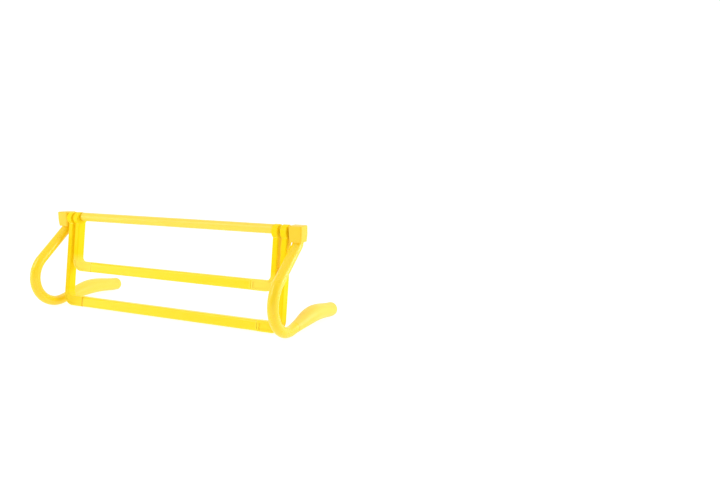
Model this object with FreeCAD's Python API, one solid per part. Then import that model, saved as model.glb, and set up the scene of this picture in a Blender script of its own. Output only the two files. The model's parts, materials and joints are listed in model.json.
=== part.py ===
import FreeCAD, Part
import math
import os
from FreeCAD import Vector

# Speed hurdle: a low crossbar on two hooked legs, with a large and a small frame hinged on it.
# X runs along the crossbar, -Y is the front, +Z is up and the floor is z = 0.

# Crossbar and its pivots
hinge_height = 145.0
crossbar_length = 366.4
crossbar_diameter = 14.0
crossbar_wall = 2.0
pin_plug_length = 24.0
pin_socket_depth = 14.0
flange_diameter = 12.6
flange_thickness = 1.8
dog_height = 1.4
knuckle_dog_span = 80.0
full_turn = 360.0

# Hinge knuckles, shared by both frames
knuckle_diameter = 20.8
knuckle_width = 9.4
knuckle_drop = 2.9
knuckle_forward = 1.4
knuckle_edge_round = 1.0
crossbar_gap = 0.8
flange_gap = 5.0
washer_thickness = 2.0
washer_diameter = 12.0

# Frames
hang_tilt = 9.0
fold_travel = 180.0
small_reach_share = 0.5865
rail_floor_clearance = 0.3
post_width = 9.2
post_depth = 14.0
rail_height = 15.8
rail_wall = 1.8
rail_corner_round = 3.4
rail_end_gap = 0.8
elbow_length = 40.0
elbow_outer_round = 17.5
elbow_inner_round = 7.0
elbow_edge_round = 2.0
spigot_length = 18.0
spigot_edge_round = 1.2
panel_depth = 1.1
panel_margin = 3.0

# End blocks
block_width = 21.0
block_depth = 19.6
block_rise = 7.2
block_drop = 16.0
block_taper_drop = 5.5
block_mouth_width = 18.8
block_mouth_depth = 18.6
block_corner_round = 2.6
block_top_round = 1.8

# Legs
leg_diameter = 15.5
leg_wall = 2.2
leg_top_drop = 6.4
leg_top_bend_share = 0.075
leg_bend_rise = 2.0
hook_radius_share = 0.287
hook_forward_share = 0.19
tail_slope = 10.0
tail_length = 50.0

# Feet
foot_reach = 104.0
foot_lip_diameter = 16.2
foot_lip_reach = -13.0
foot_swell_diameter = 24.8
foot_swell_reach = 32.0
foot_swell_height = 16.2
foot_tip_diameter = 21.2
foot_tip_round = 6.5
sole_inset = 1.0

# Screws, all driven from the back
screw_head_diameter = 4.6
screw_head_height = 1.4
screw_shank_diameter = 2.4
screw_shank_length = 7.0
screw_seat_depth = 0.5
leg_screw_drop = 11.4
crossbar_screw_inset = 11.0
rail_screw_inset = 9.0

# Clearances and the one overrun for all cuts
side_play = 0.3
running_clearance = 0.08
fit_clearance = 0.05
dog_clearance_angle = 2.0
cut_overrun = 2.0

# Places along the crossbar, from the middle outwards
crossbar_end = crossbar_length / 2
small_inner = crossbar_end + crossbar_gap
small_outer = small_inner + knuckle_width
flange_middle = small_outer + flange_gap / 2
large_inner = small_outer + flange_gap
large_outer = large_inner + knuckle_width
washer_inner = large_outer + side_play
block_inner = washer_inner + washer_thickness
block_middle = block_inner + block_width / 2

# Radii that follow from the sizes above
leg_radius = leg_diameter / 2
pin_radius = crossbar_diameter / 2 - crossbar_wall - fit_clearance

# The leg's bends grow with the hinge's height
leg_top_bend = hinge_height * leg_top_bend_share
hook_radius = hinge_height * hook_radius_share
hook_forward = hinge_height * hook_forward_share
hook_height = leg_radius + hook_radius

# The large frame reaches down to just above the floor, tilted as it hangs
tilt_angle = math.radians(hang_tilt)
rail_lean = (post_depth / 2 - rail_corner_round) * math.sin(tilt_angle)
rail_corner_fall = hinge_height - rail_floor_clearance - rail_corner_round - rail_lean
rail_corner_drop = rail_corner_fall / math.cos(tilt_angle)
large_reach = rail_corner_drop - (rail_height / 2 - rail_corner_round)
small_reach = large_reach * small_reach_share

# The hinge sits where the part is centred front to back
hinge_back = (hook_forward + hook_radius + leg_radius - foot_reach) / 2


def at_hinge(along, back, rise):
    """A point given from the hinge line: along X, behind it and above it."""
    return Vector(along, hinge_back + back, hinge_height + rise)


def above_floor(along, back, height):
    """A point given from the hinge line front to back and from the floor up."""
    return Vector(along, hinge_back + back, height)


def rod(start, direction, length, radius):
    return Part.makeCylinder(radius, length, start, direction)


def slab(low, high):
    size = high - low
    return Part.makeBox(size.x, size.y, size.z, low)


def line(start, end):
    return Part.LineSegment(start, end).toShape()


def arc(start, middle, end):
    return Part.Arc(start, middle, end).toShape()


def rounded_rectangle(centre, across, up, width, height, corner):
    """A closed wire of four lines and four corner arcs in the plane of across and up."""
    edges = []
    last = None
    first = None
    half_width = width / 2 - corner
    half_height = height / 2 - corner
    for turn, (sign_across, sign_up) in enumerate(((1, 1), (-1, 1), (-1, -1), (1, -1))):
        middle = centre + across * (sign_across * half_width) + up * (sign_up * half_height)
        points = []
        for step in range(3):
            angle = math.pi / 2 * turn + math.pi / 4 * step
            points.append(middle + across * (corner * math.cos(angle)) + up * (corner * math.sin(angle)))
        if last is not None:
            edges.append(line(last, points[0]))
        else:
            first = points[0]
        edges.append(arc(*points))
        last = points[2]
    edges.append(line(last, first))
    return Part.Wire(edges)


def sector(inner_x, outer_x, inner_radius, outer_radius, start_angle, span):
    """A ring segment about the hinge line. Angles run from straight down towards the front."""
    ring = rod(Vector(inner_x, 0, 0), Vector(1, 0, 0), outer_x - inner_x, outer_radius)
    ring = ring.cut(rod(Vector(inner_x, 0, 0), Vector(1, 0, 0), outer_x - inner_x, inner_radius))
    reach = outer_radius * 2

    def spoke(angle):
        turn = math.radians(angle)
        return Vector(inner_x, -reach * math.sin(turn), -reach * math.cos(turn))

    hub = Vector(inner_x, 0, 0)
    points = [hub] + [spoke(start_angle + span * share) for share in (0, 1 / 2, 1)] + [hub]
    wedge = Part.Face(Part.makePolygon(points)).extrude(Vector(outer_x - inner_x, 0, 0))
    return ring.common(wedge)


def to_hinge(shape, tilt=0.0):
    """Tilts a shape made about the X axis towards the front and carries it to the hinge line."""
    placed = shape.copy()
    placed.rotate(Vector(0, 0, 0), Vector(1, 0, 0), -tilt)
    placed.translate(at_hinge(0, 0, 0))
    return placed


def mirrored(shape):
    return shape.mirror(Vector(0, 0, 0), Vector(1, 0, 0))


def screw(seat, inward):
    """A plain pan-head screw whose head bears at seat and whose shank runs inward."""
    head = rod(seat - inward * screw_head_height, inward, screw_head_height, screw_head_diameter / 2)
    return head.fuse(rod(seat, inward, screw_shank_length, screw_shank_diameter / 2)).removeSplitter()


def screw_hole(seat, inward):
    hole = rod(seat, inward, screw_shank_length + fit_clearance, screw_shank_diameter / 2 + fit_clearance)
    head_room = rod(seat, inward * -1, block_depth, screw_head_diameter / 2 + fit_clearance)
    return hole.fuse(head_room)


# Screw seats on the right-hand side, all facing the back
forward = Vector(0, -1, 0)
block_back = block_depth / 2
leg_screw_seat = at_hinge(block_middle, block_back - screw_seat_depth, -leg_screw_drop)
pin_screw_seat = at_hinge(block_inner + pin_socket_depth / 2, block_back - screw_seat_depth, 0)
crossbar_screw_seat = at_hinge(
    crossbar_end - crossbar_screw_inset, crossbar_diameter / 2 - screw_seat_depth, 0)


def rail_screw_seat(elbow_end, reach):
    """The seat on a frame's rail before the frame is tilted and placed."""
    return Vector(elbow_end - rail_screw_inset, post_depth / 2 - screw_seat_depth, -reach)


# Crossbar tube
def make_crossbar():
    start = at_hinge(-crossbar_end, 0, 0)
    tube = rod(start, Vector(1, 0, 0), crossbar_length, crossbar_diameter / 2)
    bore = rod(start, Vector(1, 0, 0), crossbar_length, crossbar_diameter / 2 - crossbar_wall)
    hole = screw_hole(crossbar_screw_seat, forward)
    return tube.cut(bore).cut(hole).cut(mirrored(hole))


# Pivot pin: plugs into the crossbar, carries both knuckles and ends in the block.
# Its flange has a stop dog on each face, one for each frame.
def make_pin():
    start = crossbar_end - pin_plug_length
    length = block_inner + pin_socket_depth - fit_clearance - start
    pin = rod(Vector(start, 0, 0), Vector(1, 0, 0), length, pin_radius)
    flange_start = flange_middle - flange_thickness / 2
    pin = pin.fuse(rod(Vector(flange_start, 0, 0), Vector(1, 0, 0), flange_thickness, flange_diameter / 2))
    span = full_turn - fold_travel - knuckle_dog_span - 2 * dog_clearance_angle
    first = hang_tilt + knuckle_dog_span / 2 + fold_travel + dog_clearance_angle
    reach = flange_thickness / 2 + dog_height
    dog_bore = pin_radius - fit_clearance
    dogs = sector(flange_middle - reach, flange_middle + reach, dog_bore, flange_diameter / 2, first, span)
    pin = to_hinge(pin.fuse(dogs).removeSplitter())
    return pin.cut(screw_hole(pin_screw_seat, forward)).cut(screw_hole(crossbar_screw_seat, forward))


# Thrust washer between the block and the large knuckle
def make_washer():
    start = Vector(washer_inner, 0, 0)
    ring = rod(start, Vector(1, 0, 0), washer_thickness, washer_diameter / 2)
    return to_hinge(ring.cut(rod(start, Vector(1, 0, 0), washer_thickness, pin_radius + fit_clearance)))


# One arm of a frame: hinge knuckle, post, elbow and the spigot that enters the rail
def elbow_end_of(knuckle_inner):
    return knuckle_inner + knuckle_width / 2 + post_width / 2 - elbow_length


def arm_outline(post_inner, post_outer, elbow_end, reach, top, inset):
    """The post and elbow seen from the front, drawn in by inset on every side but the top."""
    left = post_inner + inset
    right = post_outer - inset
    rail_top = -reach + rail_height / 2 - inset
    rail_bottom = -reach - rail_height / 2 + inset
    end = elbow_end + inset
    inner = elbow_inner_round + inset
    outer = elbow_outer_round - inset
    slant = math.sqrt(1 / 2)
    inner_centre = Vector(left - inner, 0, rail_top + inner)
    outer_centre = Vector(right - outer, 0, rail_bottom + outer)
    inner_points = [
        inner_centre + Vector(inner, 0, 0),
        inner_centre + Vector(inner * slant, 0, -inner * slant),
        inner_centre + Vector(0, 0, -inner),
    ]
    outer_points = [
        outer_centre + Vector(0, 0, -outer),
        outer_centre + Vector(outer * slant, 0, -outer * slant),
        outer_centre + Vector(outer, 0, 0),
    ]
    top_left = Vector(left, 0, top)
    top_right = Vector(right, 0, top)
    end_top = Vector(end, 0, rail_top)
    end_bottom = Vector(end, 0, rail_bottom)
    return Part.Wire([
        line(top_left, inner_points[0]),
        arc(*inner_points),
        line(inner_points[2], end_top),
        line(end_top, end_bottom),
        line(end_bottom, outer_points[0]),
        arc(*outer_points),
        line(outer_points[2], top_right),
        line(top_right, top_left),
    ])


def make_arm(knuckle_inner, reach, dog_outside):
    knuckle_outer = knuckle_inner + knuckle_width
    middle = knuckle_inner + knuckle_width / 2
    post_inner = middle - post_width / 2
    post_outer = middle + post_width / 2
    elbow_end = elbow_end_of(knuckle_inner)

    # Post and elbow, rounded along their front and back outlines
    top = -knuckle_drop
    outline = arm_outline(post_inner, post_outer, elbow_end, reach, top, 0)
    body = Part.Face(outline).extrude(Vector(0, post_depth, 0))
    body.translate(Vector(0, -post_depth / 2, 0))
    long_edges = []
    for edge in body.Edges:
        box = edge.BoundBox
        on_face = box.YLength < fit_clearance
        at_top = box.ZMin > top - fit_clearance
        at_end = box.XMax < elbow_end + fit_clearance
        if on_face and not at_top and not at_end:
            long_edges.append(edge)
    body = body.makeFillet(elbow_edge_round, long_edges)

    # Shallow panel on the front of the elbow
    panel_outline = arm_outline(
        post_inner, post_outer, elbow_end, reach, -reach + elbow_length, panel_margin)
    panel = Part.Face(panel_outline).extrude(Vector(0, panel_depth + cut_overrun, 0))
    panel.translate(Vector(0, -post_depth / 2 - cut_overrun, 0))
    panel_top = -reach + elbow_outer_round - rail_height / 2
    keep = slab(
        Vector(elbow_end, -post_depth, -reach - rail_height), Vector(post_outer, post_depth, panel_top))
    body = body.cut(panel.common(keep))

    # Knuckle: a round eye set a little low and ahead of the hinge line, so that it stands proud of the post
    eye_start = Vector(knuckle_inner, -knuckle_forward, -knuckle_drop)
    knuckle = rod(eye_start, Vector(1, 0, 0), knuckle_width, knuckle_diameter / 2)
    knuckle_rims = [e for e in knuckle.Edges if e.BoundBox.XLength < fit_clearance]
    knuckle = knuckle.makeFillet(knuckle_edge_round, knuckle_rims)

    # Stop dog on the face towards the pin's flange
    if dog_outside:
        dog_low, dog_high = knuckle_outer - knuckle_edge_round, knuckle_outer + dog_height
    else:
        dog_low, dog_high = knuckle_inner - dog_height, knuckle_inner + knuckle_edge_round
    bore_radius = pin_radius + running_clearance
    dog = sector(
        dog_low, dog_high, bore_radius, flange_diameter / 2, -knuckle_dog_span / 2, knuckle_dog_span)

    # Spigot inside the rail
    across = Vector(0, 1, 0)
    up = Vector(0, 0, 1)
    shrink = 2 * (rail_wall + fit_clearance)
    section = rounded_rectangle(
        Vector(elbow_end + elbow_edge_round, 0, -reach), across, up,
        post_depth - shrink, rail_height - shrink, rail_corner_round - rail_wall)
    spigot = Part.Face(section).extrude(Vector(-spigot_length - elbow_edge_round, 0, 0))
    spigot_rim = [e for e in spigot.Edges if e.BoundBox.XMax < elbow_end - spigot_length + fit_clearance]
    spigot = spigot.makeChamfer(spigot_edge_round, spigot_rim)

    arm = body.fuse([knuckle, dog, spigot]).removeSplitter()
    bore_start = Vector(knuckle_inner - cut_overrun, 0, 0)
    arm = arm.cut(rod(bore_start, Vector(1, 0, 0), knuckle_width + 2 * cut_overrun, bore_radius))
    arm = arm.cut(screw_hole(rail_screw_seat(elbow_end, reach), forward))
    return to_hinge(arm, hang_tilt)


# Rail: the straight tube between a frame's two elbows
def make_rail(knuckle_inner, reach):
    elbow_end = elbow_end_of(knuckle_inner)
    across = Vector(0, 1, 0)
    up = Vector(0, 0, 1)
    rail_end = elbow_end - rail_end_gap
    start = Vector(-rail_end, 0, -reach)
    shell = Part.Face(rounded_rectangle(start, across, up, post_depth, rail_height, rail_corner_round))
    hollow = Part.Face(rounded_rectangle(
        start, across, up, post_depth - 2 * rail_wall, rail_height - 2 * rail_wall,
        rail_corner_round - rail_wall))
    run = Vector(2 * rail_end, 0, 0)
    rail = shell.extrude(run).cut(hollow.extrude(run))
    hole = screw_hole(rail_screw_seat(elbow_end, reach), forward)
    return to_hinge(rail.cut(hole).cut(mirrored(hole)), hang_tilt)


# End block: a squared head that tapers to the leg's mouth
def make_block():
    across = Vector(1, 0, 0)
    deep = Vector(0, 1, 0)
    waist = rounded_rectangle(
        at_hinge(block_middle, 0, -block_taper_drop), across, deep, block_width, block_depth,
        block_corner_round)
    mouth = rounded_rectangle(
        at_hinge(block_middle, 0, -block_drop), across, deep, block_mouth_width, block_mouth_depth,
        block_corner_round)
    head = Part.Face(waist).extrude(Vector(0, 0, block_rise + block_taper_drop))
    rim = [e for e in head.Edges if e.BoundBox.ZMin > hinge_height + block_rise - fit_clearance]
    head = head.makeFillet(block_top_round, rim)
    block = head.fuse(Part.makeLoft([mouth, waist], True, True)).removeSplitter()
    socket = leg_sweep(leg_radius + fit_clearance, fit_clearance)
    pin_socket = rod(
        at_hinge(block_inner, 0, 0), Vector(1, 0, 0), pin_socket_depth, pin_radius + fit_clearance)
    block = block.cut(socket).cut(pin_socket)
    return block.cut(screw_hole(leg_screw_seat, forward)).cut(screw_hole(pin_screw_seat, forward))


# Leg: a bent tube, from the block down and forward, round the hook and back under the foot
def leg_points():
    """Corner points of the leg's centre line, each as (behind the hinge, above the floor)."""
    exit_height = hinge_height - block_drop + leg_bend_rise
    ahead = hook_forward - leg_top_bend
    fall = exit_height - hook_height
    spread = math.hypot(ahead, fall)
    heading = math.atan2(ahead, fall) + math.asin((leg_top_bend + hook_radius) / spread)
    straight = math.sqrt(spread ** 2 - (leg_top_bend + hook_radius) ** 2)
    slope = math.radians(tail_slope)
    bend_start = (0, exit_height)
    bend_middle = (
        leg_top_bend * (math.cos(heading / 2) - 1), exit_height - leg_top_bend * math.sin(heading / 2))
    bend_end = (leg_top_bend * (math.cos(heading) - 1), exit_height - leg_top_bend * math.sin(heading))
    hook_start = (bend_end[0] - straight * math.sin(heading), bend_end[1] - straight * math.cos(heading))
    hook_front = (-hook_forward - hook_radius, hook_height)
    hook_end = (
        hook_radius * math.sin(slope) - hook_forward, hook_height - hook_radius * math.cos(slope))
    tail_end = (hook_end[0] + tail_length * math.cos(slope), hook_end[1] + tail_length * math.sin(slope))
    top = (0, hinge_height - leg_top_drop)
    return [top, bend_start, bend_middle, bend_end, hook_start, hook_front, hook_end, tail_end]


def leg_sweep(radius, rise):
    """A solid round bar along the leg's centre line, its top end raised by rise."""
    top, bend_start, bend_middle, bend_end, hook_start, hook_front, hook_end, tail_end = [
        above_floor(block_middle, *point) for point in leg_points()]
    top = top + Vector(0, 0, rise)
    path = Part.Wire([
        line(top, bend_start),
        arc(bend_start, bend_middle, bend_end),
        line(bend_end, hook_start),
        arc(hook_start, hook_front, hook_end),
        line(hook_end, tail_end),
    ])
    ring = Part.Wire(Part.makeCircle(radius, top, Vector(0, 0, -1)))
    return path.makePipe(Part.Face(ring))


def make_leg():
    leg = leg_sweep(leg_radius, 0).cut(leg_sweep(leg_radius - leg_wall, 0))
    return leg.cut(screw_hole(leg_screw_seat, forward))


# Foot: a swelling sleeve on the leg's tail, with a flat sole at its back end
def make_foot():
    hook_end, tail_end = leg_points()[-2:]
    slope = math.radians(tail_slope)
    tip_radius = foot_tip_diameter / 2
    tip_height = tip_radius - sole_inset

    def tail_height(back):
        return hook_end[1] + (back - hook_end[0]) * math.tan(slope)

    def blend(first, last, share):
        return first + (last - first) * share

    # Each station: place from the lip to the swell, or from the swell to the tip, and how far
    # the radius and the height have gone there
    front_shares = ((0, 0, 0), (0.45, 0.5, 0.5), (1, 1, 1))
    back_shares = ((0.42, 0.3, 0.2), (0.72, 0.7, 0.72), (1, 1, 1))
    sections = []
    for place, radius, height in front_shares:
        back = blend(foot_lip_reach, foot_swell_reach, place)
        middle = blend(tail_height(foot_lip_reach), foot_swell_height, height)
        sections.append((back, blend(foot_lip_diameter, foot_swell_diameter, radius) / 2, middle))
    for place, radius, height in back_shares:
        back = blend(foot_swell_reach, foot_reach, place)
        middle = blend(foot_swell_height, tip_height, height)
        sections.append((back, blend(foot_swell_diameter, foot_tip_diameter, radius) / 2, middle))
    rings = [
        Part.Wire(Part.makeCircle(radius, above_floor(block_middle, back, middle), Vector(0, 1, 0)))
        for back, radius, middle in sections]
    foot = Part.makeLoft(rings, True, False)
    tip_rim = [e for e in foot.Edges if e.BoundBox.YMin > hinge_back + foot_reach - fit_clearance]
    foot = foot.makeFillet(foot_tip_round, tip_rim)

    # Flat sole and the bore for the leg's tail
    under_low = Vector(
        block_middle - foot_swell_diameter, hinge_back + foot_lip_reach - cut_overrun, -foot_swell_diameter)
    under_high = Vector(block_middle + foot_swell_diameter, hinge_back + foot_reach + cut_overrun, 0)
    foot = foot.cut(slab(under_low, under_high))
    start = above_floor(block_middle, *hook_end)
    along_tail = Vector(0, math.cos(slope), math.sin(slope))
    return foot.cut(rod(start, along_tail, tail_length + fit_clearance, leg_radius + fit_clearance))


os.makedirs("parts", exist_ok=True)


def save(name, shape):
    shape.exportStep("parts/" + name + ".step")
    print(name, len(shape.Solids), round(shape.Volume), shape.isValid())


def save_pair(name, shape):
    save("left_" + name, mirrored(shape))
    save("right_" + name, shape)


def save_screws(name, seat, tilt=None):
    """Two screws, one on each side, as one group."""
    piece = screw(seat, forward)
    group = Part.makeCompound([piece, mirrored(piece)])
    save(name, group if tilt is None else to_hinge(group, tilt))


save("crossbar", make_crossbar())
save_pair("pivot_pin", make_pin())
save_pair("thrust_washer", make_washer())
save_pair("end_block", make_block())
save_pair("leg", make_leg())
save_pair("foot", make_foot())
for frame, inner, reach, outside in (
        ("large", large_inner, large_reach, False), ("small", small_inner, small_reach, True)):
    arm = make_arm(inner, reach, outside)
    save(frame + "_left_arm", mirrored(arm))
    save(frame + "_right_arm", arm)
    save(frame + "_rail", make_rail(inner, reach))
    save_screws(frame + "_rail_screws", rail_screw_seat(elbow_end_of(inner), reach), hang_tilt)
save_screws("leg_screws", leg_screw_seat)
save_screws("pin_screws", pin_screw_seat)
save_screws("crossbar_screws", crossbar_screw_seat)
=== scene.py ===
import json
import math
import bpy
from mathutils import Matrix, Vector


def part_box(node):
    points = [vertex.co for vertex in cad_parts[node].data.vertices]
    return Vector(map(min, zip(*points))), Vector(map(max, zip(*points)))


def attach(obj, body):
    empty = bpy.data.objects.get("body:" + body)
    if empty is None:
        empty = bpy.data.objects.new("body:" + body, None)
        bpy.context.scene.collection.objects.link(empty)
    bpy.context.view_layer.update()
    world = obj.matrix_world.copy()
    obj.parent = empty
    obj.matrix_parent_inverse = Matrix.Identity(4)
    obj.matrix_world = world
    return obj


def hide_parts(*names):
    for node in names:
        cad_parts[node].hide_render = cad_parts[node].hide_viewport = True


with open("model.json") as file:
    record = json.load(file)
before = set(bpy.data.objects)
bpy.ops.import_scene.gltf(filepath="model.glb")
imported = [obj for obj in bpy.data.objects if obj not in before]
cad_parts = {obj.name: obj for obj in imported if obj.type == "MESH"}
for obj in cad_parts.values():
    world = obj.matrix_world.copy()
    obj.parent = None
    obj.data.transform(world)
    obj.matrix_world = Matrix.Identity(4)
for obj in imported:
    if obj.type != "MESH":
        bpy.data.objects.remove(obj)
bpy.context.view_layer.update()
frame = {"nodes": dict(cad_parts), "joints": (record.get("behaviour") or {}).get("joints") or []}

from types import SimpleNamespace

import bpy
from mathutils import Matrix

bpy.ops.object.select_all(action="DESELECT")


# Crossbar. A straight round tube of extruded yellow plastic, sawn square at both ends. It is pushed over
# the plugs of the two pivot pins and held on each by one screw from behind. Die lines run along it.
rightwards = (1.0, 0.0, 0.0)


def add_node(tree, kind, **settings):
    node = tree.nodes.new(kind)
    for name, value in settings.items():
        setattr(node, name, value)
    return node


def feed(tree, value, socket):
    """Links a socket to another node's output, or sets it to a plain value."""
    if isinstance(value, bpy.types.NodeSocket):
        tree.links.new(value, socket)
    else:
        socket.default_value = value


def remap(tree, source, span, target):
    """Carries a value from one range to another and holds it there."""
    node = add_node(tree, "ShaderNodeMapRange", clamp=True)
    feed(tree, source, node.inputs["Value"])
    for label, value in zip(("From Min", "From Max", "To Min", "To Max"), span + target):
        feed(tree, value, node.inputs[label])
    return node.outputs["Result"]


def calculate(tree, operation, first, second=0.0):
    node = add_node(tree, "ShaderNodeMath", operation=operation)
    feed(tree, first, node.inputs[0])
    feed(tree, second, node.inputs[1])
    return node.outputs["Value"]


def measure_along(tree, place, direction):
    """How far a place lies along a direction."""
    node = add_node(tree, "ShaderNodeVectorMath", operation="DOT_PRODUCT")
    feed(tree, place, node.inputs[0])
    feed(tree, direction, node.inputs[1])
    return node.outputs["Value"]


def blend_colours(tree, share, first, second):
    node = add_node(tree, "ShaderNodeMix", data_type="RGBA")
    factor, colour_a, colour_b = node.inputs[0], node.inputs[6], node.inputs[7]
    feed(tree, share, factor)
    feed(tree, first, colour_a)
    feed(tree, second, colour_b)
    blended = node.outputs[2]
    return blended


def cloud(tree, place, scale, detail):
    """Soft cloudy noise, finer for a larger scale."""
    node = add_node(tree, "ShaderNodeTexNoise")
    feed(tree, place, node.inputs["Vector"])
    feed(tree, scale, node.inputs["Scale"])
    feed(tree, detail, node.inputs["Detail"])
    return node.outputs["Fac"]


def open_group(name, inputs, outputs):
    """A new node group; returns it with the sockets it is given and the sockets of its results."""
    group = bpy.data.node_groups.new(name, "ShaderNodeTree")
    for label, kind in inputs.items():
        group.interface.new_socket(name=label, in_out="INPUT", socket_type="NodeSocket" + kind)
    for label, kind in outputs.items():
        group.interface.new_socket(name=label, in_out="OUTPUT", socket_type="NodeSocket" + kind)
    given = add_node(group, "NodeGroupInput").outputs
    results = add_node(group, "NodeGroupOutput").inputs
    return group, given, results


def use_group(tree, group, **given):
    node = add_node(tree, "ShaderNodeGroup", node_tree=group)
    for label, value in given.items():
        feed(tree, value, node.inputs[label])
    return node.outputs


def make_pigment_tone():
    """Colour that drifts a little over a hand's width and is finely speckled by its pigment."""
    group, given, results = open_group(
        "pigment tone",
        {"Place": "Vector", "Yellow": "Color", "Deep": "Color", "Pale": "Color", "Speckle": "Float"},
        {"Colour": "Color"})
    deepest = 0.5
    patches = cloud(group, given["Place"], scale=24.0, detail=2.0)
    drift = remap(group, patches, span=(0.35, 0.68), target=(0.0, deepest))
    grains = cloud(group, given["Place"], scale=1500.0, detail=3.0)
    speckle = remap(group, grains, span=(0.5, 0.72), target=(0.0, given["Speckle"]))
    toned = blend_colours(group, drift, given["Yellow"], given["Deep"])
    feed(group, blend_colours(group, speckle, toned, given["Pale"]), results["Colour"])
    return group


def make_edge_rub_and_highlight():
    """A paler tone along edges, broken up by a fine cloud: rubbed wear where it is weak, a painted
    highlight where it is strong.
    """
    group, given, results = open_group(
        "edge rub and highlight",
        {"Place": "Vector", "Colour": "Color", "Pale": "Color", "Reach": "Float", "Strength": "Float"},
        {"Colour": "Color", "Rub": "Float"})
    least_rub = 0.15
    rounded = add_node(group, "ShaderNodeBevel", samples=4)
    feed(group, given["Reach"], rounded.inputs["Radius"])
    surface = add_node(group, "ShaderNodeNewGeometry")
    facing = measure_along(group, rounded.outputs["Normal"], surface.outputs["Normal"])
    edge = remap(group, facing, span=(0.98, 0.86), target=(0.0, 1.0))
    wisps = cloud(group, given["Place"], scale=420.0, detail=4.0)
    patches = remap(group, wisps, span=(0.4, 0.66), target=(least_rub, 1.0))
    rub = calculate(group, "MULTIPLY", edge, patches)
    share = calculate(group, "MULTIPLY", rub, given["Strength"])
    feed(group, blend_colours(group, share, given["Colour"], given["Pale"]), results["Colour"])
    feed(group, rub, results["Rub"])
    return group


def make_joint_line():
    """Another tone close to a cut or joint square to X, at the same distance on the left and right."""
    group, given, results = open_group(
        "joint line",
        {"Place": "Vector", "Colour": "Color", "Left": "Color", "Right": "Color",
         "Where": "Float", "Reach": "Float"},
        {"Colour": "Color"})
    strongest = 0.8
    across = measure_along(group, given["Place"], rightwards)
    on_right = calculate(group, "GREATER_THAN", across, 0.0)
    tint = blend_colours(group, on_right, given["Left"], given["Right"])
    outwards = calculate(group, "ABSOLUTE", across)
    away = calculate(group, "ABSOLUTE", calculate(group, "SUBTRACT", outwards, given["Where"]))
    reached = calculate(group, "DIVIDE", away, given["Reach"])
    nearness = remap(group, reached, span=(0.25, 1.0), target=(strongest, 0.0))
    feed(group, blend_colours(group, nearness, given["Colour"], tint), results["Colour"])
    return group


def make_die_lines():
    """Fine streaks left along X by the die, in the gloss and in the surface."""
    group, given, results = open_group(
        "die lines", {"Place": "Vector", "Rub": "Float"}, {"Roughness": "Float", "Height": "Float"})
    drawn_out = (0.012, 1.0, 1.0)
    rub_dulling = 0.12
    along = add_node(group, "ShaderNodeMapping")
    along.inputs["Scale"].default_value = drawn_out
    feed(group, given["Place"], along.inputs["Vector"])
    lines = cloud(group, along.outputs["Vector"], scale=700.0, detail=3.0)
    dulled = calculate(group, "MULTIPLY", given["Rub"], rub_dulling)
    streaks = remap(group, lines, span=(0.3, 0.7), target=(0.26, 0.38))
    feed(group, calculate(group, "ADD", streaks, dulled), results["Roughness"])
    feed(group, lines, results["Height"])
    return group


pigment_tone = make_pigment_tone()
edge_rub_and_highlight = make_edge_rub_and_highlight()
joint_line = make_joint_line()
die_lines = make_die_lines()


def open_material(name):
    """A new material, with its node tree and its shader."""
    material = bpy.data.materials.new(name)
    material.use_nodes = True
    tree = material.node_tree
    return material, tree, tree.nodes["Principled BSDF"]


def open_plastic(name, yellow, deep, pale, gloss, rub_and_highlight_reach, rub_and_highlight_strength=0.5, speckle=0.3):
    """A plastic with its colour begun, and what the rest of it is built from."""
    material, tree, shader = open_material(name)
    shader.inputs["Specular IOR Level"].default_value = gloss
    place = add_node(tree, "ShaderNodeTexCoord").outputs["Object"]
    tone = use_group(
        tree, pigment_tone, Place=place, Yellow=yellow, Deep=deep, Pale=pale, Speckle=speckle)
    rub = use_group(
        tree, edge_rub_and_highlight, Place=place, Colour=tone["Colour"], Pale=pale, Reach=rub_and_highlight_reach,
        Strength=rub_and_highlight_strength)
    return SimpleNamespace(
        material=material, tree=tree, shader=shader, place=place, colour=rub["Colour"], rub=rub["Rub"])


def close_material(finish, roughness, height, strength, distance):
    """Joins the finished colour, roughness and height to the shader."""
    feed(finish.tree, finish.colour, finish.shader.inputs["Base Color"])
    feed(finish.tree, roughness, finish.shader.inputs["Roughness"])
    bump = add_node(finish.tree, "ShaderNodeBump")
    bump.inputs["Strength"].default_value = strength
    bump.inputs["Distance"].default_value = distance
    feed(finish.tree, height, bump.inputs["Height"])
    feed(finish.tree, bump.outputs["Normal"], finish.shader.inputs["Normal"])
    return finish.material


def dress(material, *names):
    for name in names:
        frame["nodes"][name].material_slots[0].material = material


def make_drawn_tube(name, yellow, deep, pale, gloss, cut_end, cut_tints):
    """cut_tints holds the tones of the left and the right sawn end: grime with painted shade of the joint
    gap, or painted light that lifts that shade.
    """
    left_tint, right_tint = cut_tints
    plastic = open_plastic(name, yellow, deep, pale, gloss, rub_and_highlight_reach=0.0006)
    sawn = use_group(
        plastic.tree, joint_line, Place=plastic.place, Colour=plastic.colour, Left=left_tint,
        Right=right_tint, Where=cut_end, Reach=0.0026)
    plastic.colour = sawn["Colour"]
    lines = use_group(plastic.tree, die_lines, Place=plastic.place, Rub=plastic.rub)
    return close_material(plastic, lines["Roughness"], lines["Height"], strength=0.1, distance=0.0002)


# The deeper orange at the crossbar's sawn ends is part grime and part painted shade of the gaps beside the
# knuckles.
cut_grime_and_shade = (0.84, 0.47, 0.0, 1.0)
crossbar_plastic = make_drawn_tube(
    "crossbar yellow",
    # This yellow holds more white than the rails' yellow: a painted sheen of the light along the tube.
    yellow=(0.98, 0.715, 0.06, 1.0), deep=(0.97, 0.68, 0.045, 1.0), pale=(0.99, 0.82, 0.2, 1.0),
    gloss=0.4, cut_end=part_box("crossbar")[1].x, cut_tints=(cut_grime_and_shade, cut_grime_and_shade))
dress(crossbar_plastic, "crossbar")


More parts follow.
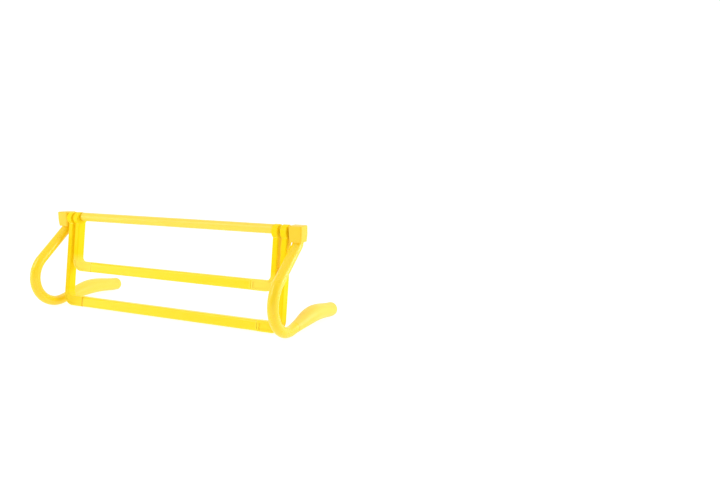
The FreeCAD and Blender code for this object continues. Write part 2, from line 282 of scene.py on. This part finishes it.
# Pivot pins. Moulded plastic pins with a flange and stop dogs, one at each end of the crossbar.
# They plug the crossbar and the end blocks, and only thin rings of them show between the knuckles.
def make_mould_grain():
    """Fine grain of a spark-worn mould, cloudy in its gloss and duller where edges are rubbed."""
    group, given, results = open_group(
        "mould grain",
        {"Place": "Vector", "Scale": "Float", "Dullness": "Float", "Rub": "Float"},
        {"Roughness": "Float", "Height": "Float"})
    rub_dulling = 0.1
    clouds = cloud(group, given["Place"], scale=60.0, detail=4.0)
    smear = remap(group, clouds, span=(0.3, 0.7), target=(-0.05, 0.06))
    dulled = calculate(group, "ADD", smear, calculate(group, "MULTIPLY", given["Rub"], rub_dulling))
    feed(group, calculate(group, "ADD", given["Dullness"], dulled), results["Roughness"])
    feed(group, cloud(group, given["Place"], given["Scale"], detail=2.0), results["Height"])
    return group


mould_grain = make_mould_grain()


def add_mould_grain(plastic, scale, dullness):
    grain = use_group(
        plastic.tree, mould_grain, Place=plastic.place, Scale=scale, Dullness=dullness, Rub=plastic.rub)
    return grain["Roughness"], grain["Height"]


def make_pin_plastic():
    plastic = open_plastic(
        "pin yellow",
        # This yellow is paler than the other mouldings': painted light that lifts the shade between the
        # knuckles.
        yellow=(0.99, 0.78, 0.01, 1.0), deep=(0.98, 0.75, 0.01, 1.0), pale=(0.99, 0.84, 0.1, 1.0),
        gloss=0.3, rub_and_highlight_reach=0.0004)
    roughness, grain = add_mould_grain(plastic, scale=1800.0, dullness=0.4)
    return close_material(plastic, roughness, grain, strength=0.1, distance=0.0001)


dress(make_pin_plastic(), "left_pivot_pin", "right_pivot_pin")


# Thrust washers. Rings of pale wear-resistant plastic, turned from bar and slipped on each pin between
# the end block and the large frame's knuckle. Fine turning rings run round them.
def make_washer_plastic():
    plastic = open_plastic(
        "washer plastic",
        yellow=(0.93, 0.64, 0.03, 1.0), deep=(0.9, 0.58, 0.02, 1.0), pale=(0.95, 0.75, 0.2, 1.0),
        gloss=0.4, rub_and_highlight_reach=0.0003)
    low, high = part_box("right_thrust_washer")
    centre = add_node(plastic.tree, "ShaderNodeVectorMath", operation="SUBTRACT")
    feed(plastic.tree, plastic.place, centre.inputs[0])
    centre.inputs[1].default_value = (0.0, (low.y + high.y) / 2, (low.z + high.z) / 2)
    rings = add_node(plastic.tree, "ShaderNodeTexWave", wave_type="RINGS", rings_direction="X")
    rings.inputs["Scale"].default_value = 900.0
    rings.inputs["Distortion"].default_value = 0.6
    feed(plastic.tree, centre.outputs["Vector"], rings.inputs["Vector"])
    roughness = remap(plastic.tree, rings.outputs["Fac"], span=(0.0, 1.0), target=(0.42, 0.52))
    return close_material(plastic, roughness, rings.outputs["Fac"], strength=0.15, distance=0.00005)


dress(make_washer_plastic(), "left_thrust_washer", "right_thrust_washer")


# End blocks. Squared heads moulded in one piece, tapering to the mouth that takes the leg. The mould
# parts at the waist, which leaves a fine line there, and the block is screwed to pin and leg from behind.
upwards = (0.0, 0.0, 1.0)


def make_mould_seam():
    """A fine ridge where the halves of the mould meet, on a plane, standing on the grain."""
    group, given, results = open_group(
        "mould seam",
        {"Place": "Vector", "Facing": "Vector", "Offset": "Float", "Width": "Float",
         "Grain": "Float", "Grain Share": "Float"},
        {"Height": "Float"})
    across = measure_along(group, given["Place"], given["Facing"])
    away = calculate(group, "ABSOLUTE", calculate(group, "SUBTRACT", across, given["Offset"]))
    reached = calculate(group, "DIVIDE", away, given["Width"])
    ridge = remap(group, reached, span=(0.0, 1.0), target=(1.0, 0.0))
    grain = calculate(group, "MULTIPLY", given["Grain"], given["Grain Share"])
    feed(group, calculate(group, "ADD", grain, ridge), results["Height"])
    return group


mould_seam = make_mould_seam()


def add_mould_seam(plastic, place, facing, offset, width, grain, grain_share):
    seam = use_group(plastic.tree, mould_seam, **{
        "Place": place, "Facing": facing, "Offset": offset, "Width": width,
        "Grain": grain, "Grain Share": grain_share})
    return seam["Height"]


# Both frames swing about the one line
hinge_place = frame["joints"][0]["pos_m"]
waist_drop = 0.0055


def make_block_plastic():
    plastic = open_plastic(
        "end block yellow",
        yellow=(0.98, 0.635, 0.004, 1.0), deep=(0.97, 0.605, 0.003, 1.0), pale=(0.99, 0.8, 0.16, 1.0),
        gloss=0.45, rub_and_highlight_reach=0.0007)
    roughness, grain = add_mould_grain(plastic, scale=1600.0, dullness=0.36)
    height = add_mould_seam(
        plastic, plastic.place, facing=upwards, offset=hinge_place[2] - waist_drop, width=0.00025,
        grain=grain, grain_share=0.25)
    return close_material(plastic, roughness, height, strength=0.6, distance=0.0001)


dress(make_block_plastic(), "left_end_block", "right_end_block")


# Legs. Round plastic tubes bent hot: out of the block, down and forward, round the hook and back along
# the floor. The bottom of the hook is scuffed where it stands.
def make_floor_scuff():
    """Pale, dull scrapes low down, where the piece stands and is pushed about on the floor."""
    group, given, results = open_group(
        "floor scuff",
        {"Place": "Vector", "Colour": "Color", "Scraped": "Color", "Height": "Float", "Roughness": "Float"},
        {"Colour": "Color", "Roughness": "Float", "Scuff": "Float"})
    paling = 0.55
    dulling = 0.25
    rise = measure_along(group, given["Place"], upwards)
    reached = calculate(group, "DIVIDE", rise, given["Height"])
    low = remap(group, reached, span=(0.15, 1.0), target=(1.0, 0.0))
    dragged = add_node(group, "ShaderNodeMapping")
    dragged.inputs["Rotation"].default_value = (0.0, 0.0, 0.3)
    dragged.inputs["Scale"].default_value = (1.0, 0.12, 0.4)
    feed(group, given["Place"], dragged.inputs["Vector"])
    streaks = cloud(group, dragged.outputs["Vector"], scale=900.0, detail=5.0)
    scratches = remap(group, streaks, span=(0.48, 0.62), target=(0.0, 1.0))
    scuff = calculate(group, "MULTIPLY", low, scratches)
    share = calculate(group, "MULTIPLY", scuff, paling)
    scraped = blend_colours(group, share, given["Colour"], given["Scraped"])
    dulled = calculate(group, "MULTIPLY", scuff, dulling)
    feed(group, scraped, results["Colour"])
    feed(group, calculate(group, "ADD", given["Roughness"], dulled), results["Roughness"])
    feed(group, scuff, results["Scuff"])
    return group


floor_scuff = make_floor_scuff()


def add_floor_scuff(plastic, roughness, scraped, height):
    """Scrapes the plastic's colour and returns its roughness and the mask of the scrapes."""
    scuff = use_group(
        plastic.tree, floor_scuff, Place=plastic.place, Colour=plastic.colour, Scraped=scraped,
        Height=height, Roughness=roughness)
    plastic.colour = scuff["Colour"]
    return scuff["Roughness"], scuff["Scuff"]


def make_leg_plastic():
    grain_share = 0.3
    scrape_depth = -0.4
    plastic = open_plastic(
        "leg yellow",
        yellow=(0.98, 0.68, 0.004, 1.0), deep=(0.97, 0.64, 0.003, 1.0), pale=(0.99, 0.8, 0.12, 1.0),
        gloss=0.55, rub_and_highlight_reach=0.0006)
    roughness, grain = add_mould_grain(plastic, scale=1200.0, dullness=0.28)
    roughness, scuff = add_floor_scuff(plastic, roughness, scraped=(0.93, 0.78, 0.3, 1.0), height=0.004)
    worn = calculate(plastic.tree, "MULTIPLY", scuff, scrape_depth)
    grained = calculate(plastic.tree, "MULTIPLY", grain, grain_share)
    height = calculate(plastic.tree, "ADD", grained, worn)
    return close_material(plastic, roughness, height, strength=0.3, distance=0.0001)


dress(make_leg_plastic(), "left_leg", "right_leg")


# Feet. Soft moulded sleeves pushed over the ends of the legs, swelling and then thinning to a rounded
# tip, with a small flat sole. Their skin is matter and paler than the tubes', and parts along the middle.
def make_foot_plastic():
    plastic = open_plastic(
        "foot yellow",
        yellow=(0.98, 0.69, 0.05, 1.0), deep=(0.97, 0.66, 0.04, 1.0), pale=(0.99, 0.8, 0.22, 1.0),
        gloss=0.5, rub_and_highlight_reach=0.0008)
    roughness, grain = add_mould_grain(plastic, scale=900.0, dullness=0.42)
    roughness, _ = add_floor_scuff(plastic, roughness, scraped=(0.9, 0.76, 0.36, 1.0), height=0.005)
    either_side = add_node(plastic.tree, "ShaderNodeVectorMath", operation="ABSOLUTE")
    feed(plastic.tree, plastic.place, either_side.inputs[0])
    leg_low, leg_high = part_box("right_leg")
    height = add_mould_seam(
        plastic, either_side.outputs["Vector"], facing=rightwards, offset=(leg_low.x + leg_high.x) / 2,
        width=0.00035, grain=grain, grain_share=0.35)
    return close_material(plastic, roughness, height, strength=0.6, distance=0.00012)


dress(make_foot_plastic(), "left_foot", "right_foot")


# Arms of both frames. Each is one moulding: hinge knuckle, flat-sided post, elbow and the spigot inside
# the rail. The mould parts along the middle of the post's sides, and pins pushed it out from behind.
hang_tilt = math.radians(9.0)
across_post = (0.0, math.cos(hang_tilt), -math.sin(hang_tilt))
up_post = (0.0, math.sin(hang_tilt), math.cos(hang_tilt))
rail_end_gap = 0.0008
elbow_mark_inset = 0.0052
# Tones at the rail joints: a paler one that is painted light lifting the shade of the joint gap, and at the
# large rail's left end a deeper orange that is part grime and part painted shade.
joint_painted_light = (1.0, 0.82, 0.05, 1.0)
joint_grime_and_shade = (0.88, 0.53, 0.0, 1.0)
joint_shade_and_light_tones = {"small_rail": (joint_painted_light, joint_painted_light), "large_rail": (joint_grime_and_shade, joint_painted_light)}


def from_hinge(direction):
    """Where the hinge line lies along a direction."""
    return sum(share * place for share, place in zip(direction, hinge_place))


def make_elbow_highlight():
    """A painted highlight: a paler tone round an arm's elbow, standing in for the glints on its rims."""
    group, given, results = open_group(
        "elbow painted highlight",
        {"Place": "Vector", "Colour": "Color", "Bleached": "Color", "Elbow": "Float"},
        {"Colour": "Color"})
    begins_above = 0.02
    full_above = 0.006
    strongest = 0.75
    rise = measure_along(group, given["Place"], up_post)
    above = calculate(group, "SUBTRACT", rise, given["Elbow"])
    share = remap(group, above, span=(begins_above, full_above), target=(0.0, strongest))
    feed(group, blend_colours(group, share, given["Colour"], given["Bleached"]), results["Colour"])
    return group


def make_push_mark():
    """A shallow round dent left by a pin that pushed the arm out of its mould, on the back only."""
    group, given, results = open_group(
        "push mark",
        {"Place": "Vector", "Height": "Float", "Outwards": "Float", "Rise": "Float"},
        {"Height": "Float"})
    radius = 0.0019
    rim = 0.0002
    back_depth = 0.004
    back_blend = 0.0005
    outwards = calculate(group, "ABSOLUTE", measure_along(group, given["Place"], rightwards))
    sideways = calculate(group, "SUBTRACT", outwards, given["Outwards"])
    rise = measure_along(group, given["Place"], up_post)
    lengthways = calculate(group, "SUBTRACT", rise, given["Rise"])
    square = calculate(
        group, "ADD", calculate(group, "MULTIPLY", sideways, sideways),
        calculate(group, "MULTIPLY", lengthways, lengthways))
    distance = calculate(group, "SQRT", square)
    dent = remap(group, distance, span=(radius, radius + rim), target=(-1.0, 0.0))
    back = from_hinge(across_post) + back_depth
    depth = measure_along(group, given["Place"], across_post)
    behind = remap(group, depth, span=(back, back + back_blend), target=(0.0, 1.0))
    mark = calculate(group, "MULTIPLY", dent, behind)
    feed(group, calculate(group, "ADD", given["Height"], mark), results["Height"])
    return group


elbow_highlight = make_elbow_highlight()
push_mark = make_push_mark()


def make_arm_plastic(name, rail, post_middle, post_marks, elbow_drop, elbow_highlight_tone):
    """post_marks holds how far below the hinge the post is marked; the elbow has one mark more."""
    # The strong, wide pale edge tone on the arms is a painted highlight along their edges and the rims of
    # the elbow panels.
    plastic = open_plastic(
        name,
        yellow=(0.98, 0.735, 0.001, 1.0), deep=(0.97, 0.7, 0.001, 1.0), pale=(1.0, 0.88, 0.28, 1.0),
        gloss=0.07, rub_and_highlight_reach=0.0014, rub_and_highlight_strength=0.9, speckle=0.08)
    hinge_rise = from_hinge(up_post)
    # Painted highlight: the elbows are paler, standing in for the glints on their rims.
    highlighted = use_group(
        plastic.tree, elbow_highlight, Place=plastic.place, Colour=plastic.colour, Bleached=elbow_highlight_tone,
        Elbow=hinge_rise - elbow_drop)
    left_tone, right_tone = joint_shade_and_light_tones[rail]
    meeting = use_group(
        plastic.tree, joint_line, Place=plastic.place, Colour=highlighted["Colour"], Left=left_tone,
        Right=right_tone, Where=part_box(rail)[1].x + rail_end_gap / 2, Reach=0.0022)
    plastic.colour = meeting["Colour"]
    roughness, grain = add_mould_grain(plastic, scale=1600.0, dullness=0.36)
    height = add_mould_seam(
        plastic, plastic.place, facing=across_post, offset=from_hinge(across_post), width=0.00025,
        grain=grain, grain_share=0.25)
    marks = [(post_middle, drop) for drop in post_marks]
    marks.append((post_middle - elbow_mark_inset, elbow_drop))
    for outwards, drop in marks:
        marked = use_group(
            plastic.tree, push_mark, Place=plastic.place, Height=height, Outwards=outwards,
            Rise=hinge_rise - drop)
        height = marked["Height"]
    return close_material(plastic, roughness, height, strength=0.6, distance=0.00012)


small_arm_plastic = make_arm_plastic(
    "small arm yellow", "small_rail", post_middle=0.1887, post_marks=(0.04,), elbow_drop=0.0805,
    elbow_highlight_tone=(0.99, 0.81, 0.12, 1.0))
large_arm_plastic = make_arm_plastic(
    "large arm yellow", "large_rail", post_middle=0.2031, post_marks=(0.045, 0.09), elbow_drop=0.1385,
    elbow_highlight_tone=(0.99, 0.78, 0.045, 1.0))
dress(small_arm_plastic, "small_left_arm", "small_right_arm")
dress(large_arm_plastic, "large_left_arm", "large_right_arm")


# Rails of both frames. Straight extruded tubes of rounded square section, cut to length and pushed over
# the arms' spigots, with one screw from behind at each end. They are drawn like the crossbar.
for rail in ("small_rail", "large_rail"):
    rail_plastic = make_drawn_tube(
        rail.replace("_", " ") + " yellow",
        yellow=(0.99, 0.755, 0.003, 1.0), deep=(0.98, 0.725, 0.002, 1.0), pale=(0.99, 0.85, 0.14, 1.0),
        gloss=0.34, cut_end=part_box(rail)[1].x, cut_tints=joint_shade_and_light_tones[rail])
    dress(rail_plastic, rail)


# Screws. Zinc-plated steel, pan-headed with a cross recess, driven from behind into pins, blocks, legs
# and spigots. One is modelled lying along Z with its seat at the origin, and copied to every seat.
head_radius = 0.0023
head_height = 0.0014


def faces_up(face):
    return face.normal.z > 0.9


def faces_down(face):
    return face.normal.z < -0.9


def pick_faces(piece, wanted):
    """Opens a piece in edit mode with only the wanted faces selected."""
    bpy.context.tool_settings.mesh_select_mode = (False, False, True)
    bpy.ops.object.mode_set(mode="EDIT")
    bpy.ops.mesh.select_all(action="DESELECT")
    bpy.ops.object.mode_set(mode="OBJECT")
    for face in piece.data.polygons:
        face.select = wanted(face)
    bpy.ops.object.mode_set(mode="EDIT")


def cut_recess_wing(piece, turn):
    """Cuts one tapered wing of the cross recess into a screw's head."""
    wing_size = (0.0026, 0.00055, 0.0021)
    wing_taper = 0.45
    bpy.ops.object.select_all(action="DESELECT")
    bpy.ops.mesh.primitive_cube_add(
        size=1.0, location=(0.0, 0.0, head_height), rotation=(0.0, 0.0, turn))
    wing = bpy.context.object
    wing.scale = wing_size
    bpy.ops.object.transform_apply(location=True, rotation=True, scale=True)
    pick_faces(wing, faces_down)
    bpy.ops.transform.resize(value=(wing_taper, wing_taper, 1.0))
    bpy.ops.object.mode_set(mode="OBJECT")
    bpy.context.view_layer.objects.active = piece
    cut = piece.modifiers.new("recess", "BOOLEAN")
    cut.operation = "DIFFERENCE"
    cut.solver = "EXACT"
    cut.object = wing
    bpy.ops.object.modifier_apply(modifier=cut.name)
    bpy.data.objects.remove(wing, do_unlink=True)


def model_screw():
    shank_radius = 0.0012
    shank_length = 0.0058
    point_length = 0.0011
    point_taper = 0.25
    head_round = 0.0007
    sharpest_smooth = math.radians(32.0)
    bpy.ops.mesh.primitive_cylinder_add(
        vertices=40, radius=head_radius, depth=head_height, location=(0.0, 0.0, head_height / 2))
    piece = bpy.context.object
    bpy.ops.object.transform_apply(location=True, rotation=True, scale=True)

    # Rounded top edge of the pan head
    pick_faces(piece, faces_up)
    bpy.ops.mesh.bevel(offset=head_round, offset_type="OFFSET", segments=5, affect="EDGES")

    # Shank and point drawn out of the underside
    bpy.ops.object.mode_set(mode="OBJECT")
    pick_faces(piece, faces_down)
    bpy.ops.mesh.inset(thickness=head_radius - shank_radius)
    bpy.ops.mesh.extrude_region_move(TRANSFORM_OT_translate={"value": (0.0, 0.0, -shank_length)})
    bpy.ops.mesh.extrude_region_move(TRANSFORM_OT_translate={"value": (0.0, 0.0, -point_length)})
    bpy.ops.transform.resize(value=(point_taper, point_taper, 1.0))
    bpy.ops.object.mode_set(mode="OBJECT")

    for turn in (0.0, math.pi / 2):
        cut_recess_wing(piece, turn)
    bpy.ops.object.select_all(action="DESELECT")
    piece.select_set(True)
    bpy.context.view_layer.objects.active = piece
    bpy.ops.object.shade_smooth_by_angle(angle=sharpest_smooth)
    return piece


def make_zinc_plate():
    cool_zinc = (0.66, 0.66, 0.68, 1.0)
    warm_zinc = (0.6, 0.58, 0.5, 1.0)
    bare_steel = (0.82, 0.82, 0.83, 1.0)
    material, tree, shader = open_material("zinc plate")
    shader.inputs["Metallic"].default_value = 1.0
    place = add_node(tree, "ShaderNodeTexCoord").outputs["Object"]
    tint = remap(tree, cloud(tree, place, scale=500.0, detail=3.0), span=(0.35, 0.65), target=(0.0, 1.0))
    plated = blend_colours(tree, tint, cool_zinc, warm_zinc)
    rub = use_group(
        tree, edge_rub_and_highlight, Place=place, Colour=plated, Pale=bare_steel, Reach=0.0002, Strength=0.5)
    grain = cloud(tree, place, scale=4000.0, detail=3.0)
    roughness = remap(tree, grain, span=(0.3, 0.7), target=(0.26, 0.46))
    plate = SimpleNamespace(material=material, tree=tree, shader=shader, colour=rub["Colour"])
    return close_material(plate, roughness, grain, strength=0.15, distance=0.00004)


def find_seat(node, lean):
    """The right-hand screw's seat, from the node's box; its head is the part furthest back and lowest."""
    low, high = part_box(node)
    back = high.y - head_height * math.cos(lean) - head_radius * math.sin(lean)
    height = low.z + head_height * math.sin(lean) + head_radius * math.cos(lean)
    return high.x - head_radius, back, height


master_screw = model_screw()
master_screw.data.materials.append(make_zinc_plate())
for node, body, lean, turns in (
        ("crossbar_screws", "base", 0.0, (0.3, 1.1)),
        ("pin_screws", "base", 0.0, (0.8, 0.15)),
        ("leg_screws", "base", 0.0, (0.5, 1.35)),
        ("small_rail_screws", "small_frame", hang_tilt, (0.9, 0.4)),
        ("large_rail_screws", "large_frame", hang_tilt, (0.2, 1.2))):
    across, back, height = find_seat(node, lean)
    bpy.ops.object.select_all(action="DESELECT")
    for side, turn in zip((1, -1), turns):
        piece = master_screw.copy()
        piece.data = master_screw.data.copy()
        bpy.context.scene.collection.objects.link(piece)
        spin = Matrix.Rotation(-math.pi / 2 - lean, 4, "X") @ Matrix.Rotation(turn, 4, "Z")
        piece.matrix_world = Matrix.Translation((side * across, back, height)) @ spin
        piece.select_set(True)
        bpy.context.view_layer.objects.active = piece
    bpy.ops.object.transform_apply(location=True, rotation=True, scale=True)
    bpy.ops.object.join()
    pair = bpy.context.object
    pair.name = "driven_" + node
    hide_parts(node)
    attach(pair, body)
bpy.data.objects.remove(master_screw, do_unlink=True)


# Stage. A pale floor that glows a little so that shadows stay faint, a surround that is white behind the
# part and dimmer in front, and five soft lights: front left, by the camera, left, right and overhead.
bpy.ops.object.select_all(action="DESELECT")
bpy.ops.mesh.primitive_plane_add(size=30.0, location=(0.0, 0.0, 0.0))
floor = bpy.context.object
floor.name = "floor"
floor_finish, _, floor_shader = open_material("pale floor")
floor_shader.inputs["Base Color"].default_value = (0.3, 0.3, 0.3, 1.0)
floor_shader.inputs["Roughness"].default_value = 0.9
floor_shader.inputs["Specular IOR Level"].default_value = 0.1
floor_shader.inputs["Emission Color"].default_value = (1.0, 1.0, 1.0, 1.0)
floor_shader.inputs["Emission Strength"].default_value = 0.84
floor.data.materials.append(floor_finish)

backwards = (0.0, 1.0, 0.0)
front_glow = 0.45
back_glow = 1.08
surround = bpy.data.worlds.new("white surround")
surround.use_nodes = True
sky = surround.node_tree
sky_light = sky.nodes["Background"]
sky_light.inputs["Color"].default_value = (1.0, 1.0, 1.0, 1.0)
bearing = add_node(sky, "ShaderNodeTexCoord").outputs["Generated"]
towards_back = measure_along(sky, bearing, backwards)
glow = remap(sky, towards_back, span=(-0.35, 0.45), target=(front_glow, back_glow))
seen = add_node(sky, "ShaderNodeLightPath").outputs["Is Camera Ray"]
backdrop = calculate(sky, "MULTIPLY", seen, back_glow)
feed(sky, calculate(sky, "MAXIMUM", glow, backdrop), sky_light.inputs["Strength"])
bpy.context.scene.world = surround


def hang_light(name, place, target, width, height, power):
    """A soft rectangular light, turned to face its target."""
    bpy.ops.object.light_add(type="AREA", location=place)
    light = bpy.context.object
    light.name = name
    light.data.shape = "RECTANGLE"
    light.data.size = width
    light.data.size_y = height
    light.data.energy = power
    aim_x, aim_y, aim_z = (end - start for end, start in zip(target, place))
    light.rotation_euler = (math.atan2(math.hypot(aim_x, aim_y), -aim_z), 0.0, math.atan2(-aim_x, aim_y))
    return light


part_middle = (0.0, 0.0, 0.08)
right_end = (0.2, 0.0, 0.1)
hang_light("front softbox", (-0.75, -1.15, 1.25), part_middle, width=0.9, height=0.9, power=10.0)
fill = hang_light("camera fill", (0.95, -1.0, 0.3), right_end, width=0.35, height=0.35, power=1.2)
fill.visible_glossy = False
hang_light("left strip", (-1.3, -1.1, 0.3), part_middle, width=0.25, height=1.0, power=3.5)
hang_light("right softbox", (1.2, 0.75, 0.4), right_end, width=0.45, height=0.75, power=5.5)
hang_light("overhead softbox", (0.2, 0.2, 1.8), part_middle, width=1.4, height=1.4, power=4.0)

camera_place = (0.66283, -0.78459, 0.26583)
camera_dip = 0.149
camera_turn = 0.424
bpy.ops.object.camera_add(
    location=camera_place, rotation=(math.pi / 2 - camera_dip, 0.0, camera_turn))
camera = bpy.context.object
camera.name = "photograph camera"
camera.data.sensor_fit = "HORIZONTAL"
camera.data.sensor_width = 36.0
camera.data.lens = 32.19
bpy.context.scene.camera = camera
bpy.context.scene.view_settings.view_transform = "Standard"
